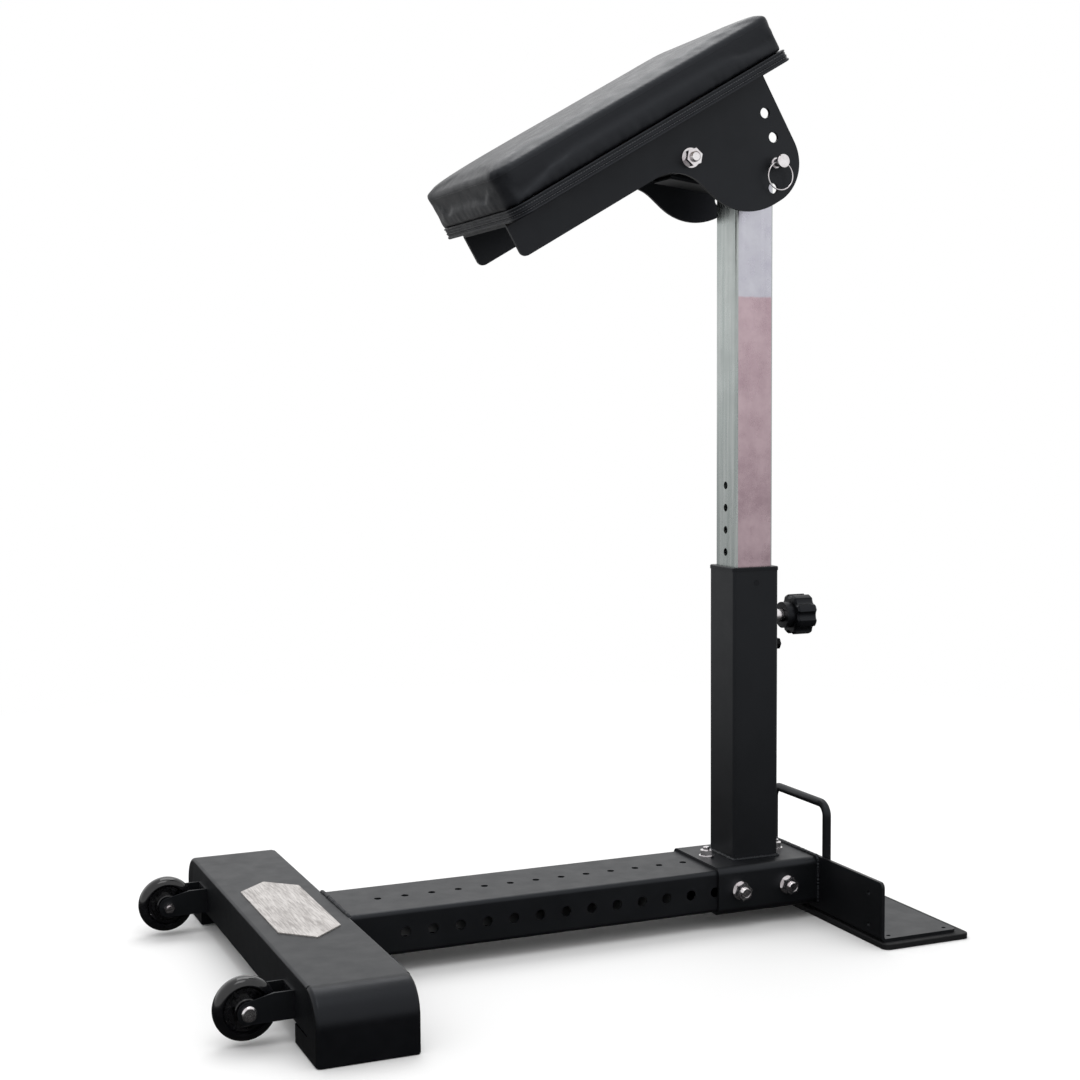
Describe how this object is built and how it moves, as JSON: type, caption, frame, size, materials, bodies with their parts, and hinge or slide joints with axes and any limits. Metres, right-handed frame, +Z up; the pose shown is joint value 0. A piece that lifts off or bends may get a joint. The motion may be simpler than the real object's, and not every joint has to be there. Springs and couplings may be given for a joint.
{
  "type": "adjustable padded support stand",
  "caption": "Standing support bench: a tilting padded rest on a height-adjustable square post, over a T-shaped base with transport wheels, a rear foot plate and a carry handle.",
  "frame": {"origin": "on the floor, at the middle of the bounding box", "axes": "+X from the transport wheels to the rear foot plate, +Y to the right-hand side of a person facing the wheels, +Z up"},
  "size_m": [1.105, 0.733, 1.3201],
  "materials": {
    "frame_black": "satin black powder coat",
    "moulded_black": "satin black moulding",
    "bush_plastic": "self-lubricating black polymer",
    "mat_rubber": "ribbed matt black",
    "badge_steel": "diagonal brushed, blank",
    "plated_post": "bright zinc plating, slightly mottled",
    "zinc_fastener": "bright zinc",
    "black_fastener": "black oxide",
    "bearing_steel": "ground",
    "wheel_tread": "glossy black polyurethane",
    "wheel_hub": "glossy black moulding",
    "plywood": "bare plywood",
    "vinyl": "fine-grained black vinyl",
    "vinyl_welt": "stitched black vinyl welt"
  },
  "bodies": {
    "base": {"main_beam": "frame_black", "crossbar": "frame_black", "foot_left": "moulded_black", "foot_right": "moulded_black", "badge_plate": "badge_steel", "base_sleeve": "frame_black", "side_bolts": "zinc_fastener", "side_washers": "zinc_fastener", "side_nuts": "zinc_fastener", "top_bolts": "zinc_fastener", "top_washers": "zinc_fastener", "top_nuts": "zinc_fastener", "rear_plate": "frame_black", "base_mat": "mat_rubber", "carry_handle": "frame_black", "outer_post": "frame_black", "post_bushing": "moulded_black", "pin_barrel": "zinc_fastener", "plunger_spring": "zinc_fastener", "set_bolt": "black_fastener", "set_nut": "black_fastener", "fork_left": "frame_black", "fork_right": "frame_black", "axle_bolts": "zinc_fastener", "axle_nuts": "zinc_fastener", "axle_spacers": "zinc_fastener"},
    "post": {"inner_post": "plated_post", "inner_post_cap": "moulded_black", "post_glide": "moulded_black", "pivot_arm": "frame_black", "pivot_tube": "frame_black", "pivot_bushes": "bush_plastic"},
    "pad": {"pad_bracket": "frame_black", "pad_board": "plywood", "pad_band": "vinyl_welt", "pad_cushion": "vinyl", "pad_bolts": "zinc_fastener", "pad_washers": "zinc_fastener", "tee_nuts": "zinc_fastener", "pivot_bolt": "zinc_fastener", "pivot_washers": "zinc_fastener", "pivot_nut": "zinc_fastener"},
    "lock_pin": {"lock_pin": "zinc_fastener"},
    "lock_ring": {"lock_ring": "zinc_fastener"},
    "plunger": {"plunger": "zinc_fastener"},
    "knob": {"knob": "moulded_black"},
    "wheel_left": {"tyre_left": "wheel_tread", "hub_left": "wheel_hub", "bearings_left": "bearing_steel"},
    "wheel_right": {"tyre_right": "wheel_tread", "hub_right": "wheel_hub", "bearings_right": "bearing_steel"}
  },
  "joints": [
    {"name": "post_slide", "type": "slide", "parent": "base", "child": "post", "axis": [0, 0, 1], "range_m": [-0.2001, 0.0667]},
    {"name": "pad_tilt", "type": "hinge", "parent": "post", "child": "pad", "pos_m": [0.185, 0, 1.122], "axis": [0, -1, 0], "range_deg": [-30, 15]},
    {"name": "lock_pin_pull", "type": "slide", "parent": "pad", "child": "lock_pin", "axis": [0, -1, 0], "range_m": [0, 0.056]},
    {"name": "lock_ring_swing", "type": "hinge", "parent": "lock_pin", "child": "lock_ring", "pos_m": [0.325, -0.095, 1.12155], "axis": [-1, 0, 0], "range_deg": [0, 110]},
    {"name": "plunger_pull", "type": "slide", "parent": "base", "child": "plunger", "axis": [1, 0, 0], "range_m": [0, 0.012], "stiffness_N_per_m": 1500, "springref_m": -0.01, "deforming": ["plunger_spring"]},
    {"name": "knob_turn", "type": "hinge", "parent": "plunger", "child": "knob", "pos_m": [0.42, 0, 0.454], "axis": [1, 0, 0], "continuous": true},
    {"name": "wheel_left_spin", "type": "hinge", "parent": "base", "child": "wheel_left", "pos_m": [-0.5125, -0.248, 0.0455], "axis": [0, 1, 0], "continuous": true},
    {"name": "wheel_right_spin", "type": "hinge", "parent": "base", "child": "wheel_right", "pos_m": [-0.5125, 0.248, 0.0455], "axis": [0, 1, 0], "continuous": true}
  ]
}
